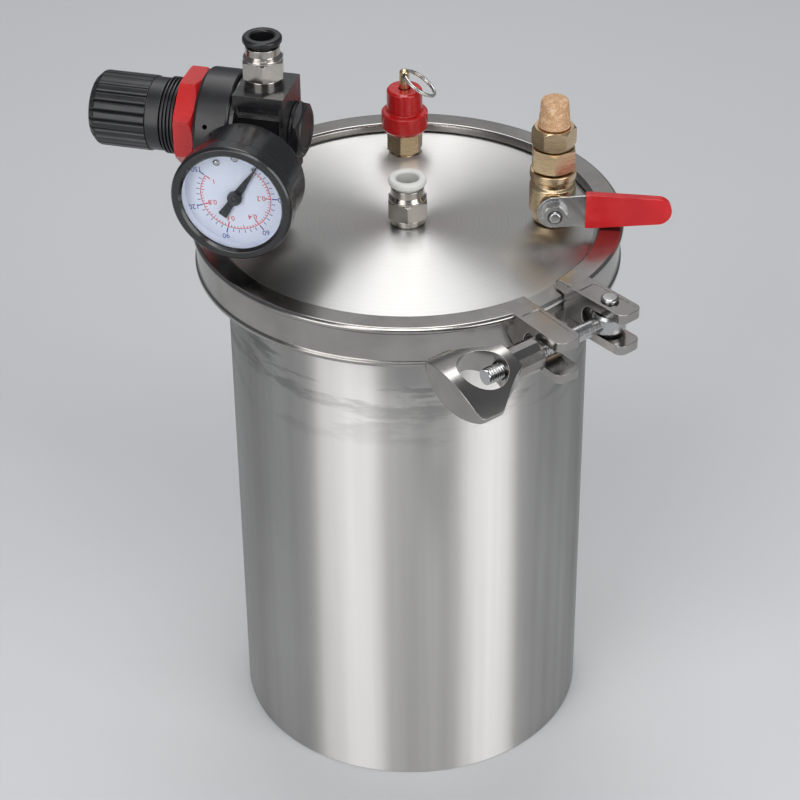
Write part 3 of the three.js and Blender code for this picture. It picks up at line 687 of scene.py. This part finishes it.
def make_lever(place):
    """Stem, strip, sleeve and nut, with Z along the stem towards the front and X along the lever."""
    stem = turned("lever_spindle", [(0, 4.6), (2.4, 4.6), (2.4, 16.2, 0.5), (1.9, 17.2, 0.8), (0, 17.2)],
                  SMALL, 0.3)
    piece(stem, "lever", "plated_steel", "vent_stem", place)
    strip = [(11, 6.9), (36, 4.2), (36, -3.8), (11, -5.2)]
    edge = [*strip, *arc((0, 0), 6.2, 262, 100, 24)]
    plate = without(prism("lever_strip", edge, 11.9, 13.1), rod("eye", 2.7, 11, 14))
    piece(softened(plate, 0.25, 3), "lever", "plated_steel", "vent_lever", place)
    tip = arc((36.8, 0.4), 5.1, 82, -82, 20)
    sleeve = prism("lever_grip", [(11, 7.4), (13, 7.6), *tip, (13, -5.9), (11, -5.7)], 10.9, 14.1)
    pocket = prism("pocket", [(10, 7), (36.4, 4.6), (36.4, -4.2), (10, -5.4)], 11.6, 13.4)
    sleeve = without(sleeve, pocket)
    piece(softened(sleeve, 1.0, 5, 50), "lever", "red_vinyl", "lever_sleeve", place)
    nut = without(hexagon("lever_hex", 8, 13.5, 16.2, 10), rod("bore", 2.65, 13, 17))
    piece(softened(nut, 0.15, 2), "lever", "plated_steel", "lever_nut", place)
    washer = turned("lever_washer", [(2.6, 13.15), (5, 13.15), (5, 13.5), (2.6, 13.5)], SMALL, 0.1,
                    ring=True)
    piece(washer, "lever", "plated_steel", None, place)


# Regulator: its own X runs along the knob and plug, and -Y towards the gauge

def make_regulator():
    place = shift(*REGULATOR) @ turn(REGULATOR_YAW_DEG, "Z")
    axis = place @ turn(90, "Y")
    make_riser()
    make_block(place)
    make_bonnet(axis)
    make_knob(axis)
    make_regulator_inside(axis)
    make_gauge(shift(*DIAL_AXIS) @ turn(REGULATOR_YAW_DEG, "Z") @ turn(90, "X"))


def make_riser():
    low, high = heights("inlet_riser")
    place = shift(*PORTS["inlet"])
    waist = joined(rod("riser_pipe", PORT_R - 0.1, 219, high), hexagon("riser_hex", 14, 212.6, 220, 0))
    waist = without(waist, rod("waterway", 3, 211, high + 1))
    piece(softened(waist, 0.25, 3), "lid", "nickel_brass", "inlet_riser", place)
    hollow_thread("riser_thread", low, 212.7, 3, "nickel_brass", place)


def make_block(place):
    half, sides = 17.7, (-7.6, 10.8)
    x_axis, forward = turn(90, "Y"), turn(90, "X")
    body = box("block_body", sides, (-13, 8), (-half, half))
    body = joined(body, moved(rod("flange", 17.5, -11.5, -7.1, ROUND), x_axis))
    drop = REGULATOR.z - DIAL_AXIS.z
    cuts = [rod("inlet", 5.3, 7.5, half + 1), rod("outlet", 5.3, -half - 1, -8),
            moved(rod("gauge_port", 5.3, 7, 14), shift(0, 0, -drop) @ forward),
            moved(rod("chamber", 5, -3, 12), x_axis),
            moved(rod("under_diaphragm", 6.5, -12.5, -7.5), x_axis),
            moved(rod("throat", 2, -9, 0), x_axis),
            box("front_groove", (-5.6, 9), (-14, -12.2), (10.6, 13.4)),
            box("front_panel", (-5.6, 9), (-14, -12.5), (-14.5, 9.2)),
            box("back_panel", (-5.6, 9), (7.5, 9), (-14.5, 14))]
    body = without(body, *cuts)
    piece(softened(body, 0.55, 3), "lid", "black_enamel", "regulator_block", place)


def make_bonnet(axis):
    grooves = [corner for z in (-29.2, -30.5, -31.8, -33.1, -34.4) for corner in
               ((13.8, z, 0.15), (13.8, z - 0.6, 0.15), (12.9, z - 0.8, 0.1), (12.9, z - 1.1, 0.1))]
    outline = [(8, -12.9), (17.8, -12.9), (17.8, -8.7), (18.5, -8.7), (19, -9.4, 0.6), (19, -20.3, 0.9),
               (17.9, -21.5, 0.5), (13.2, -21.5), (13.2, -29), *grooves, (10, -35.6), (10, -52), (3.6, -52),
               (3.6, -48.5), (8, -48.5)]
    bonnet = turned("regulator_cover", outline, BROAD, 0.25, ring=True)
    breather = moved(rod("breather", 0.9, 7, 20, TINY), turn(-20, "Z") @ shift(0, 0, -16.6) @ turn(90, "X"))
    piece(without(bonnet, breather), "lid", "black_plastic", "regulator_bonnet", axis)
    chamfer = turned("chamfer", [(0, -28.9), (17.7, -28.9), (18.6, -28.2), (18.6, -23.6), (17, -21.8),
                                 (0, -21.8)], BROAD, 0)
    nut = within(prism("panel_ring", polygon(8, 18.3, 22.5), -28.9, -21.8), chamfer)
    nut = without(nut, rod("bore", 14, -30, -21, ROUND))
    piece(softened(nut, 0.35, 3, 25), "lid", "red_plastic", "panel_nut", axis)


def make_knob(axis):
    """Knob whose grip has narrow grooves between broad ribs."""
    ribs, per_rib, depth = 24, 10, 0.85
    floor_radius, fade_width, groove_slope = 11.3, 1.2, 5.5
    knob = turned("knob_grip", [(0, -62.8), (11.2, -62.8, 1.2), (13.5, -60.4, 1.8), (13.5, -57),
                                (13.5, -49), (13.5, -41.1, 0.4), (13.1, -41), (13.1, -35.9),
                                (10.4, -35.9), (10.4, -55), (4.4, -55), (4.4, -60.6), (0, -60.6)],
                  ribs * per_rib, 0.25)
    for vertex in knob.data.vertices:
        x, y, z = vertex.co / MM
        radius = math.hypot(x, y)
        if radius > floor_radius and z < -41.2:
            share = (math.atan2(y, x) / (2 * math.pi) * ribs) % 1
            groove = max(0, 1 - abs(share - 0.5) * groove_slope)
            fade = min(1, (radius - floor_radius) / fade_width)
            scale = 1 - depth * groove * fade / radius
            vertex.co.x, vertex.co.y = x * scale * MM, y * scale * MM
    piece(knob, "knob", "black_plastic", "regulator_knob", axis, sharp=55)
    screw = prism("screw_head", polygon(6, 6.9 / math.sqrt(3)), -60.2, -56.6)
    screw = joined(screw, rod("screw_shank", 3.0, -57, -47))
    piece(softened(screw, 0.25, 2), "adjusting_screw", "plated_steel", "adjusting_screw", axis)
    piece(threaded("screw_thread", 3.2, -54, -39.5), "adjusting_screw", "plated_steel", None,
          axis, sharp=70)


def make_regulator_inside(axis):
    def inside(name, node, body, slot, profile, ring=False):
        piece(turned(name, profile, SMALL, 0.2, ring), body, slot, node, axis)

    inside("spring_button", "spring_seat", "spring_seat", "plated_steel",
           [(3.55, -44.6), (7.4, -44.6), (7.4, -42.6), (3.55, -42.6)], ring=True)
    coil_spring("range_spring", 6.2, -41.2, -16.4, 7, 0.95, axis, "adjusting_spring")
    inside("diaphragm_disc", "diaphragm_plate", "lid", "plated_steel",
           [(0, -15.2), (7.4, -15.2), (7.4, -12.9), (0, -12.9)])
    inside("diaphragm_sheet", "diaphragm", "lid", "rubber",
           [(0, -12.6), (17, -12.6), (17, -11.8), (0, -11.8)])
    inside("valve_poppet", "poppet", "poppet", "yellow_brass",
           [(0, -11.4), (1.5, -11.4), (1.5, -2.7), (4.2, -2.7), (4.2, -0.4), (1.9, 0.4), (1.9, 3), (0, 3)])
    coil_spring("return_spring", 3, 1.2, 6, 5, 0.4, axis, "poppet_spring")
    plug = joined(hexagon("plug_hex", 19, 11.9, 14.6, 0, fall=0.7), rod("plug_collar", 10, 11.1, 12, ROUND))
    piece(softened(plug, 0.3, 3), "lid", "black_plastic", "regulator_plug", axis)
    face = turned("plug_face", [(0, 14.4), (8.9, 14.4), (8.3, 15.3, 0.4), (6.6, 15.3, 0.2),
                                (6.3, 15, 0.2), (0, 15)], ROUND, 0.2)
    piece(face, "lid", "black_plastic", None, axis)
    piece(threaded("plug_thread", 4.7, 7.2, 11.2), "lid", "black_plastic", None, axis, sharp=70)


# Gauge: its own Z points out of the dial, with X to the right and Y up

def make_gauge(place):
    stem = joined(hexagon("gauge_hex", 12, 13.3, 18.7), rod("gauge_neck", 3.5, 18.5, 26))
    piece(softened(without(stem, rod("feed", 1.3, 13, 23)), 0.2, 2), "lid", "yellow_brass", "gauge_stem",
          place)
    piece(threaded("gauge_thread", 4.7, 7.5, 13.5), "lid", "yellow_brass", None, place, sharp=70)
    case = turned("gauge_shell", [(3.9, 19), (18.4, 19, 1.5), (20.5, 21, 1.5), (20.5, 38), (19.3, 38),
                                  (19.3, 20.4), (3.9, 20.4)], LARGE, 0.3, ring=True)
    piece(case, "lid", "black_enamel", "gauge_case", place)
    bezel = turned("gauge_rim", [(20.9, 36.2), (21.5, 36.2, 0.3), (21.8, 36.9, 0.4), (21.8, 41.5, 0.9),
                                 (21.0, 42.4, 0.5), (18.9, 42.4, 0.5), (18.0, 41.3, 0.4), (18, 40.9),
                                 (20.9, 40.9)], LARGE, 0.15, ring=True)
    piece(bezel, "lid", "black_enamel", "gauge_bezel", place)
    lens = turned("gauge_glass", [(0, 39.4), (19, 39.4), (19, 40.5), (0, 40.5)], BROAD, 0.15)
    piece(lens, "lid", "clear_lens", "gauge_lens", place)
    piece(tube("dial_plate", 1.3, 18.9, 35.6, DIAL_Z, BROAD, 0.05), "lid", "dial_face", "gauge_dial", place)
    wall = turned("dial_wall", [(18.3, DIAL_Z), (18.95, DIAL_Z), (18.95, 39.2), (18.6, 39.2)], BROAD, 0.1,
                  ring=True)
    piece(wall, "lid", "dial_face", None, place)
    make_dial_print(place)
    make_dial_hardware(place)
    make_pointer(place)
    path = [(x, y, 28) for x, y in arc((0, 0), 13, -80, 180, 48)]
    piece(wire("gauge_tube", path, 1.7), "lid", "yellow_brass", "bourdon_tube", place)
    frame_block = without(box("gauge_frame", (-6, 6), (-4, 4), (27.5, 33.5)),
                          rod("arbor_hole", 1.2, 27, 34))
    piece(softened(frame_block, 0.5, 2), "lid", "yellow_brass", "gauge_movement", place)


def scale_angle(share):
    """Direction on the dial of a share of the full scale."""
    return math.radians(POINTER_ZERO_DEG - FULL_SWEEP_DEG * share)


def make_ticks(name, place, material, marks):
    """Thin raised strokes: marks are (share of the scale, inner radius, outer radius, width)."""
    points, faces = [], []
    for share, inner, outer, width in marks:
        out = Vector((math.cos(scale_angle(share)), math.sin(scale_angle(share)), 0))
        side = Vector((-out.y, out.x, 0)) * width / 2
        start = len(points)
        for z in (DIAL_Z + 0.01, DIAL_Z + 0.05):
            lift = Vector((0, 0, z))
            points += [out * inner - side + lift, out * outer - side + lift,
                       out * outer + side + lift, out * inner + side + lift]
        faces += [[start + k for k in face] for face in
                  ((3, 2, 1, 0), (4, 5, 6, 7), (0, 1, 5, 4), (1, 2, 6, 5), (2, 3, 7, 6), (3, 0, 4, 7))]
    piece(mesh_object(name, points, faces), "lid", "dial_face", None, place, material)


def make_arc_line(name, place, material, radius, width):
    steps = 120
    inner = [(radius - width / 2, share) for share in (k / steps for k in range(steps + 1))]
    outer = [(radius + width / 2, share) for _, share in reversed(inner)]
    outline = [(r * math.cos(scale_angle(s)), r * math.sin(scale_angle(s))) for r, s in inner + outer]
    piece(prism(name, outline, DIAL_Z + 0.01, DIAL_Z + 0.05), "lid", "dial_face", None, place, material)


def make_number(text, name, place, material, share, radius, size):
    """A numeral printed upside down, as the gauge hangs with its stem on top."""
    curve = bpy.data.curves.new(name, "FONT")
    curve.body, curve.size, curve.align_x, curve.align_y = text, size * MM, "CENTER", "CENTER"
    curve.extrude, curve.resolution_u = 0.02 * MM, 6
    angle = scale_angle(share)
    made = link(name, curve)
    at = shift(radius * math.cos(angle), radius * math.sin(angle), DIAL_Z + 0.03)
    made.matrix_world = at @ turn(DIAL_TURN_DEG, "Z")
    made = settled(made)
    made.data.transform(made.matrix_world)
    piece(made, "lid", "dial_face", None, place, material)


def make_dial_print(place):
    red = [(k / 50, 12.6 - (1.9 if k % 10 == 0 else 1.3 if k % 5 == 0 else 0.8), 12.6,
            0.38 if k % 10 == 0 else 0.24) for k in range(51)]
    blue = [(k / 30, 13.1, 13.1 + (2.2 if k % 6 == 0 else 1.2), 0.42 if k % 6 == 0 else 0.26)
            for k in range(31)]
    make_ticks("dial_ticks_inner", place, "ink_red", red)
    make_ticks("dial_ticks_outer", place, "ink_blue", blue)
    make_arc_line("dial_ring_inner", place, "ink_red", 12.7, 0.22)
    for k, text in enumerate(("0", "0.2", "0.4", "0.6", "0.8", "1")):
        make_number(text, f"dial_inner_{k}", place, "ink_red", k / 5, 9.2, 2.7)
    for k in range(1, 6):
        make_number(str(30 * k), f"dial_outer_{k}", place, "ink_blue", k / 5, 16.6, 2.7)


def make_dial_hardware(place):
    for k, (x, y) in enumerate(((-6.3, 12.6), (0.3, 14.9))):
        head = turned(f"dial_screw_{k + 1}", [(0, DIAL_Z + 0.1), (1.25, DIAL_Z + 0.1),
                                              (1.25, DIAL_Z + 0.5, 0.2), (0.7, DIAL_Z + 0.85, 0.3),
                                              (0, DIAL_Z + 0.9)], MINOR, 0.2)
        slot = box("slot", (-1.4, 1.4), (-0.17, 0.17), (DIAL_Z + 0.55, DIAL_Z + 1.2))
        piece(without(head, slot), "lid", "plated_steel", None,
              place @ shift(x, y) @ turn(35 + 50 * k, "Z"))
    stop = turned("dial_stop", [(0, DIAL_Z - 0.4), (0.45, DIAL_Z - 0.4), (0.45, DIAL_Z + 1.6, 0.3),
                                (0, DIAL_Z + 1.75)], TINY, 0.2)
    piece(stop, "lid", "plated_steel", None, place @ shift(6.6, 11.8))


def make_pointer(place):
    tail = [(-9, -1.5), (-8.4, -1.7), (-3.5, -1.3), (-2, -1.5), (2, -1.5), (10, -0.75)]
    outline = [*tail, (15.2, -0.2), (15.2, 0.2), *[(x, -y) for x, y in reversed(tail)]]
    hand = joined(prism("pointer_arm", outline, 37, 37.5), rod("hub", 2.6, 36.8, 38.2),
                  rod("arbor", 0.8, 29, 37, TINY))
    piece(softened(hand, 0.15, 2), "pointer", "black_enamel", "gauge_pointer",
          place @ turn(POINTER_ZERO_DEG, "Z"))
    cap = turned("pointer_cap", [(0, 38.1), (1.1, 38.1), (1.1, 38.5, 0.2), (0, 38.6)], MINOR, 0.1)
    piece(cap, "pointer", "black_enamel", None, place)


# Clamp

def ring_section():
    """Section of the clamp ring: two lips over a wedge-shaped groove."""
    return [(LIP_R, 212.2, 0.7), (LIP_R + 0.8, CLAMP_TOP, 0.9), (CLAMP_R - 0.9, CLAMP_TOP, 0.9),
            (CLAMP_R, 212.2, 0.9), (CLAMP_R, 211.1, 0.8), (77.4, 210.3, 0.5), (77.1, 199.4, 0.7),
            (77.8, 198.6, 0.5), (77.8, 197.5, 0.5), (77.3, CLAMP_BASE, 0.4),
            (LIP_R + 0.8, CLAMP_BASE, 0.6), (LIP_R, 197.8, 0.4), (LIP_R, 200.4, 0.4),
            (GROOVE_R, 201.7, 0.5), (GROOVE_R, 208.4, 0.5), (LIP_R, 209.75, 0.3)]


def make_ring(name, body, start, end):
    section = rounded(ring_section(), 0.4, closed=True)
    steps = int(abs(end - start) / 1.5)
    points, faces, count = [], [], len(section)
    for row in range(steps + 1):
        angle = math.radians(start + (end - start) * row / steps)
        points += [(p.x * math.cos(angle), p.x * math.sin(angle), p.y) for p in section]
    for row in range(steps):
        faces += [(row * count + k, row * count + (k + 1) % count, (row + 1) * count + (k + 1) % count,
                   (row + 1) * count + k) for k in range(count)]
    faces += [list(range(count)), [steps * count + k for k in reversed(range(count))]]
    ring = softened(mesh_object(f"{name}_arc", points, faces), 0.5, 3, 60)
    piece(ring, body, "cast_steel", name, sharp=50)


def ear_outline(start, offset, inset, steps):
    """Outline of an ear's plate, from start to its rounded tip, drawn in by inset."""
    half, corner = EAR_WIDTH / 2, 3
    tip, low, high = EAR_TIP - corner, offset - half, offset + half
    return [(start, low + inset), *arc((tip, low + corner), corner - inset, -90, 0, steps),
            *arc((tip, high - corner), corner - inset, 0, 90, steps), (start, high - inset)]


def make_plate(name, body, at, offset, inner, outer):
    """One plate of an ear, between two heights, with a shallow panel sunk in its outer face."""
    plate = prism(name, ear_outline(GROOVE_R + 2.4, offset, 0, 8), min(inner, outer), max(inner, outer))
    panel = prism("panel", ear_outline(CLAMP_R + 1.2, offset, 1.5, 6), outer - 0.3, outer + 0.3)
    piece(softened(without(plate, panel), 0.75, 4, 45), body, "cast_steel", None, at)


def make_ear(name, body, ear):
    at = turn(ear["deg"], "Z")
    offset, half = ear["offset"], EAR_WIDTH / 2
    proud = 0.06
    make_plate(f"{name}_ear_top", body, at, offset, CLAMP_TOP - PLATE_THICK, CLAMP_TOP + proud)
    make_plate(f"{name}_ear_base", body, at, offset, CLAMP_BASE + PLATE_THICK, CLAMP_BASE - proud)
    web = [(GROOVE_R + 0.6, CLAMP_BASE + 1), (84.8, CLAMP_BASE + 1),
           *arc((86.6, BOLT_PIN.z), 4.5, 246, 114), (84.8, CLAMP_TOP - 1),
           (GROOVE_R + 0.6, CLAMP_TOP - 1)]
    web_piece = prism(f"{name}_ear_web", web, offset - half + 0.35, offset + half - 0.35)
    moved(web_piece, Matrix(((1, 0, 0, 0), (0, 0, 1, 0), (0, 1, 0, 0), (0, 0, 0, 1))))
    web_piece.data.flip_normals()
    piece(softened(web_piece, 0.4, 2, 50), body, "cast_steel", None, at)


def make_knuckle(name, body, side, low, high):
    """Hinge leaf: an arm that ends in an eye round the pin."""
    reach = HINGE.xy.length
    arm = [(reach - 4, -side * 3), (reach + 4.2, side * 3.4), (77, side * 17), (75.6, side * 15),
           (75.6, side * 7)]
    leaf = joined(prism(name, arm, low, high), moved(rod("eye", 5.5, low, high, SMALL), shift(reach)))
    leaf = without(leaf, moved(rod("hole", 2.8, low - 1, high + 1), shift(reach)))
    piece(softened(leaf, 0.6, 3, 40), body, "cast_steel", None, turn(HINGE_DEG, "Z"))


def make_pin(name, node, centre):
    profile = [(0, 195.9), (2.2, 195.9), (3.1, 196.3, 0.3), (3.1, CLAMP_BASE - 0.3),
               (2.5, CLAMP_BASE - 0.3), (2.5, CLAMP_TOP + 0.3), (3.2, CLAMP_TOP + 0.3), (3.2, 213.9, 0.4),
               (2.4, 214.3, 0.4), (0, 214.3)]
    piece(turned(name, profile, SMALL, 0.15), "clamp_rear", "plated_steel", node, shift(centre.x, centre.y))


def make_clamp():
    gap = 5
    make_ring("clamp_front", "clamp_front", HINGE_DEG - 360 + gap, FRONT_EAR["end"])
    make_ring("clamp_rear", "clamp_rear", REAR_EAR["end"], HINGE_DEG - gap)
    make_ear("front", "clamp_front", FRONT_EAR)
    make_ear("rear", "clamp_rear", REAR_EAR)
    make_knuckle("front_leaf", "clamp_front", 1, 202, 208)
    make_knuckle("rear_leaf_low", "clamp_rear", -1, CLAMP_BASE, 201.6)
    make_knuckle("rear_leaf_high", "clamp_rear", -1, 208.4, CLAMP_TOP)
    make_pin("hinge_rivet", "hinge_pin", HINGE)
    make_pin("swing_rivet", "bolt_pin", BOLT_PIN)


# Eye bolt and wing nut: their own Z runs along the bolt, X points down and Y outwards

def make_bolt():
    place = shift(*BOLT_PIN) @ turn(BOLT_DEG, "Z") @ turn(90, "Y")
    eye = turned("bolt_eye", [(0, -3.7), (5.2, -3.7), (6, -2.6, 0.6), (6, 2.6, 0.6), (5.2, 3.7), (0, 3.7)],
                 ROUND, 0.2)
    eye = moved(eye, turn(90, "Y"))
    shank = joined(eye, rod("shank", BOLT_R - 0.1, 3, 22, SMALL))
    shank = without(shank, moved(rod("hole", 2.8, -5, 5), turn(90, "Y")))
    piece(softened(shank, 0.3, 3, 40), "eye_bolt", "plated_steel", "eye_bolt", place)
    piece(threaded("bolt_thread", BOLT_R, 21, 56.2, 0.55), "eye_bolt", "plated_steel", None,
          place, sharp=70)
    make_wing_nut(place @ turn(NUT_TILT_DEG, "Z"))


def make_wing_nut(place):
    start, end, wing, thick = 33.2, 72, 15.6, 5.1
    plan = [(5.7, 45.5), (7.1, 49), (9.4, 52.6), (12.2, 56.4), (14.4, 59.2), (15.4, 60.9), (wing, 62.4),
            (wing, 68.6), (15, 70), (12.5, 70.9), (8, 71.6), (0, end)]
    plan += [(-y, z) for y, z in reversed(plan[:-1])]
    slab = prism("nut_head", [(-z, y) for y, z in plan], -9, 9)
    head = moved(slab, turn(90, "Y"))
    bulge = [(thick * (1 - (k / 12 - 1) ** 2) + 0.9, wing * (k / 12 - 1)) for k in range(25)]
    lens = prism("lens", bulge + [(-x, y) for x, y in reversed(bulge)], 40, 80)
    head = within(head, lens)
    barrel = turned("nut_barrel", [(0, start), (5.2, start), (6, start + 1, 0.4), (6, 49), (0, 49)], 12, 0)
    window = moved(rod("window", 8.8, -12, 12, BROAD), shift(0, 0, 58.4) @ turn(90, "Y"))
    head = without(joined(head, barrel), window, rod("bore", BOLT_R + 0.3, start - 1, 58, SMALL))
    piece(softened(head, 0.8, 4, 28), "wing_nut", "cast_steel", "wing_nut", place, sharp=50)


# Stage: pale floor, soft light and the camera

# Each lamp's name, place and size in metres, and power in watts
SOFTBOXES = (("left_softbox", (-0.78, -1.03, 0.55), (0.9, 1.3), 9.4),
             ("right_softbox", (0.98, -0.95, 0.55), (0.85, 1.3), 11),
             ("top_softbox", (0.0, 0.55, 1.5), (0.7, 1.2), 10),
             ("back_softbox", (0.1, 1.5, 1.15), (1.3, 0.6), 0.95),
             ("front_top_softbox", (-0.1, -0.85, 1.5), (1.1, 0.35), 7))


def make_stage():
    floor = Surface("floor", specular=0.2)
    floor.colour((0.58, 0.59, 0.60), (0.62, 0.63, 0.64), floor.noise(3))
    floor.roughness(floor.noise(8), 0.7, 0.85)
    reach = 6000
    corners = [(-reach, -reach, 0), (reach, -reach, 0), (reach, reach, 0), (-reach, reach, 0)]
    ground = mesh_object("floor", corners, [(0, 1, 2, 3)])
    ground.data.materials.append(floor.material)
    world = bpy.data.worlds.new("studio")
    world.use_nodes = True
    background = world.node_tree.nodes["Background"]
    background.inputs["Color"].default_value = (0.80, 0.84, 0.90, 1)
    background.inputs["Strength"].default_value = 0.2
    bpy.context.scene.world = world
    bpy.context.scene.view_settings.view_transform = "Standard"


def make_lights():
    target = Vector((0, 0, 0.15))
    for name, place, size, power in SOFTBOXES:
        lamp = bpy.data.lights.new(name, "AREA")
        lamp.shape, lamp.size, lamp.size_y, lamp.energy = "RECTANGLE", *size, power
        aim = (target - Vector(place)).to_track_quat("-Z", "Y").to_matrix().to_4x4()
        link(name, lamp).matrix_world = Matrix.Translation(place) @ aim


def make_camera():
    pitch, roll = 34.395, -0.623
    camera = link("camera", bpy.data.cameras.new("camera"))
    camera.data.lens, camera.data.sensor_width = 109.6, 36
    camera.matrix_world = shift(-3.533, -767.855, 656.409) @ turn(90 - pitch, "X") @ turn(roll, "Z")
    bpy.context.scene.camera = camera


make_materials()
make_camera()
make_stage()
make_lights()
make_vessel()
make_lid()
make_push_fitting("centre_fitting", "centre", 13.4, "grey_plastic")
make_push_fitting("inlet_fitting", "inlet", 10.4, "black_plastic")
make_relief_valve()
make_vent_valve()
make_regulator()
make_clamp()
make_bolt()
